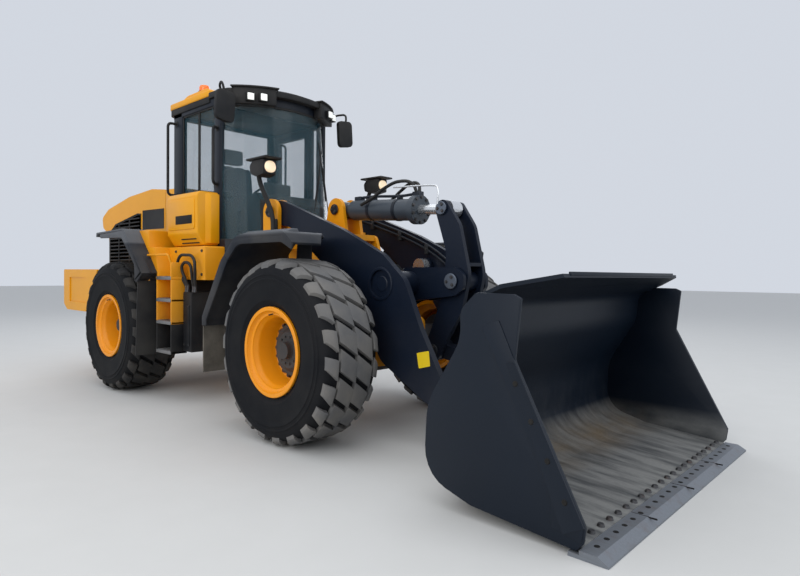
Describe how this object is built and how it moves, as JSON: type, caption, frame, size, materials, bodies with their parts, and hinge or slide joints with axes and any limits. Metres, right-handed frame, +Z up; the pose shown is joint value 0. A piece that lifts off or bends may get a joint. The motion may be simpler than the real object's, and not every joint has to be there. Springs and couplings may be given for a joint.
{
  "type": "wheel loader",
  "caption": "Articulated wheel loader with a lever linkage, a wide bucket, a glazed cab, a sloping hood and a counterweight at the back.",
  "frame": {"origin": "on the ground, centred under the whole machine's bounding box", "axes": "+X towards the bucket, +Y to the left, +Z up"},
  "size_m": [8.3022, 2.728, 3.73],
  "materials": {
    "tyre": "dusty",
    "rim": "gloss",
    "frame_dark": "satin",
    "body_yellow": "gloss",
    "axle_dark": "satin",
    "engine": "matte",
    "cab_dark": "satin",
    "glass": "tinted",
    "roof": "gloss",
    "interior": "matte",
    "fender": "matte",
    "boom_dark": "satin",
    "steel": "polished",
    "barrel_dark": "satin",
    "edge_steel": "worn",
    "rubber": "matte",
    "lamp": "gloss",
    "beacon": "gloss",
    "tail_lamp": "gloss"
  },
  "bodies": {
    "rear_frame": {"rear_chassis": "body_yellow", "engine_block": "engine", "counterweight": "body_yellow", "rear_axle": "axle_dark", "cab_frame": "cab_dark", "cab_roof": "roof", "cab_glass": "glass", "operator_station": "interior", "side_box": "body_yellow", "side_platforms": "body_yellow", "ladders": "body_yellow", "step_boxes": "fender", "hoses": "rubber", "rear_fenders": "fender", "handrails": "cab_dark", "mirrors": "interior", "beacon": "beacon", "work_lamps": "lamp", "tail_lamps": "tail_lamp"},
    "hood": {"hood": "body_yellow"},
    "cab_door": {"cab_door": "cab_dark", "door_glass": "glass"},
    "front_frame": {"front_chassis": "body_yellow", "front_axle": "axle_dark", "front_fenders": "fender", "mud_flaps": "rubber", "head_lamps": "interior"},
    "wheel_front_left": {"tyre_front_left": "tyre", "rim_front_left": "rim"},
    "wheel_front_right": {"tyre_front_right": "tyre", "rim_front_right": "rim"},
    "wheel_rear_left": {"tyre_rear_left": "tyre", "rim_rear_left": "rim"},
    "wheel_rear_right": {"tyre_rear_right": "tyre", "rim_rear_right": "rim"},
    "boom": {"boom": "boom_dark"},
    "bucket_pins": {"bucket_pins": "steel"},
    "lever_pin": {"lever_pin": "steel"},
    "lever": {"lever": "boom_dark"},
    "link_pin": {"link_pin": "steel"},
    "link": {"link": "boom_dark"},
    "lift_barrel_left": {"lift_barrel_left": "barrel_dark"},
    "lift_rod_left": {"lift_rod_left": "steel"},
    "lift_barrel_right": {"lift_barrel_right": "barrel_dark"},
    "lift_rod_right": {"lift_rod_right": "steel"},
    "tilt_barrel": {"tilt_barrel": "barrel_dark"},
    "tilt_rod": {"tilt_rod": "steel"},
    "steer_barrel_left": {"steer_barrel_left": "barrel_dark"},
    "steer_rod_left": {"steer_rod_left": "steel"},
    "steer_barrel_right": {"steer_barrel_right": "barrel_dark"},
    "steer_rod_right": {"steer_rod_right": "steel"},
    "bucket": {"bucket": "boom_dark", "cutting_edge": "edge_steel"}
  },
  "joints": [
    {"name": "articulation", "type": "hinge", "parent": "rear_frame", "child": "front_frame", "pos_m": [-0.485, 0, 0.9375], "axis": [0, 0, 1], "range_deg": [-40, 40]},
    {"name": "wheel_front_left_spin", "type": "hinge", "parent": "front_frame", "child": "wheel_front_left", "pos_m": [1.215, 1.045, 0.79], "axis": [0, 1, 0], "continuous": true},
    {"name": "wheel_front_right_spin", "type": "hinge", "parent": "front_frame", "child": "wheel_front_right", "pos_m": [1.215, -1.045, 0.79], "axis": [0, 1, 0], "continuous": true},
    {"name": "wheel_rear_left_spin", "type": "hinge", "parent": "rear_frame", "child": "wheel_rear_left", "pos_m": [-2.185, 1.045, 0.79], "axis": [0, 1, 0], "continuous": true},
    {"name": "wheel_rear_right_spin", "type": "hinge", "parent": "rear_frame", "child": "wheel_rear_right", "pos_m": [-2.185, -1.045, 0.79], "axis": [0, 1, 0], "continuous": true},
    {"name": "boom_lift", "type": "hinge", "parent": "front_frame", "child": "boom", "pos_m": [0.215, 0, 2.085], "axis": [0, -1, 0], "range_deg": [0, 78]},
    {"name": "bucket_levelling", "type": "hinge", "parent": "boom", "child": "bucket_pins", "pos_m": [2.8, 0, 0.345], "axis": [0, 1, 0], "range_deg": [0, 81.24]},
    {"name": "bucket_tilt", "type": "hinge", "parent": "bucket_pins", "child": "bucket", "pos_m": [2.8, 0, 0.345], "axis": [0, 1, 0], "range_deg": [-44, 42.3]},
    {"name": "lever_levelling", "type": "hinge", "parent": "boom", "child": "lever_pin", "pos_m": [2.245, 0, 1.395], "axis": [0, -1, 0], "range_deg": [0, 40.97]},
    {"name": "lever_swing", "type": "hinge", "parent": "lever_pin", "child": "lever", "pos_m": [2.245, 0, 1.395], "axis": [0, -1, 0], "range_deg": [-18.1, 17.42]},
    {"name": "link_swing", "type": "hinge", "parent": "bucket", "child": "link_pin", "pos_m": [2.795, 0, 0.66], "axis": [0, -1, 0], "range_deg": [-58.34, 56.11]},
    {"name": "link_levelling", "type": "hinge", "parent": "link_pin", "child": "link", "pos_m": [2.795, 0, 0.66], "axis": [0, -1, 0], "range_deg": [0, 18.19]},
    {"name": "tilt_barrel_swing", "type": "hinge", "parent": "front_frame", "child": "tilt_barrel", "pos_m": [0.66, 0, 2.12], "axis": [0, -1, 0], "range_deg": [0, 80.96]},
    {"name": "tilt_rod_stroke", "type": "slide", "parent": "tilt_barrel", "child": "tilt_rod", "axis": [0.9982, 0, -0.0593], "range_m": [-0.16863, 0.17533]},
    {"name": "lift_barrel_left_swing", "type": "hinge", "parent": "front_frame", "child": "lift_barrel_left", "pos_m": [0.17, 0, 0.93], "axis": [0, -1, 0], "range_deg": [0, 43.59]},
    {"name": "lift_rod_left_stroke", "type": "slide", "parent": "lift_barrel_left", "child": "lift_rod_left", "axis": [0.8959, 0, 0.4443], "range_m": [0, 0.97918]},
    {"name": "lift_barrel_right_swing", "type": "hinge", "parent": "front_frame", "child": "lift_barrel_right", "pos_m": [0.17, 0, 0.93], "axis": [0, -1, 0], "range_deg": [0, 43.59]},
    {"name": "lift_rod_right_stroke", "type": "slide", "parent": "lift_barrel_right", "child": "lift_rod_right", "axis": [0.8959, 0, 0.4443], "range_m": [0, 0.97918]},
    {"name": "steer_barrel_left_swing", "type": "hinge", "parent": "rear_frame", "child": "steer_barrel_left", "pos_m": [-1, 0.29, 0.9], "axis": [0, 0, 1], "range_deg": [-17.07, 17.07]},
    {"name": "steer_rod_left_stroke", "type": "slide", "parent": "steer_barrel_left", "child": "steer_rod_left", "axis": [0.9995, -0.0309, 0], "range_m": [-0.18903, 0.18903]},
    {"name": "steer_barrel_right_swing", "type": "hinge", "parent": "rear_frame", "child": "steer_barrel_right", "pos_m": [-1, -0.29, 0.9], "axis": [0, 0, 1], "range_deg": [-17.07, 17.07]},
    {"name": "steer_rod_right_stroke", "type": "slide", "parent": "steer_barrel_right", "child": "steer_rod_right", "axis": [0.9995, 0.0309, 0], "range_m": [-0.18903, 0.18903]},
    {"name": "door_swing", "type": "hinge", "parent": "rear_frame", "child": "cab_door", "pos_m": [-0.839, 0.762, 2.5], "axis": [0, 0, -1], "range_deg": [0, 90]},
    {"name": "hood_tilt", "type": "hinge", "parent": "rear_frame", "child": "hood", "pos_m": [-2.1, 0, 2.54], "axis": [0, 1, 0], "range_deg": [0, 40]}
  ],
  "couplings": [
    {"joint": "bucket_levelling", "follows": "boom_lift", "ratio": 1.0351},
    {"joint": "lever_levelling", "follows": "boom_lift", "ratio": 0.5189},
    {"joint": "lever_swing", "follows": "bucket_tilt", "ratio": 0.4},
    {"joint": "link_swing", "follows": "bucket_tilt", "ratio": 1.3146},
    {"joint": "link_levelling", "follows": "boom_lift", "ratio": 0.2268},
    {"joint": "tilt_barrel_swing", "follows": "boom_lift", "ratio": 1.0315},
    {"joint": "tilt_rod_stroke", "follows": "bucket_tilt", "m_per_rad": -0.2257},
    {"joint": "lift_barrel_left_swing", "follows": "boom_lift", "ratio": 0.5524},
    {"joint": "lift_rod_left_stroke", "follows": "boom_lift", "m_per_rad": 0.7178},
    {"joint": "lift_barrel_right_swing", "follows": "boom_lift", "ratio": 0.5524},
    {"joint": "lift_rod_right_stroke", "follows": "boom_lift", "m_per_rad": 0.7178},
    {"joint": "steer_barrel_left_swing", "follows": "articulation", "ratio": 0.4142},
    {"joint": "steer_rod_left_stroke", "follows": "articulation", "m_per_rad": -0.2679},
    {"joint": "steer_barrel_right_swing", "follows": "articulation", "ratio": 0.4142},
    {"joint": "steer_rod_right_stroke", "follows": "articulation", "m_per_rad": 0.2679}
  ]
}
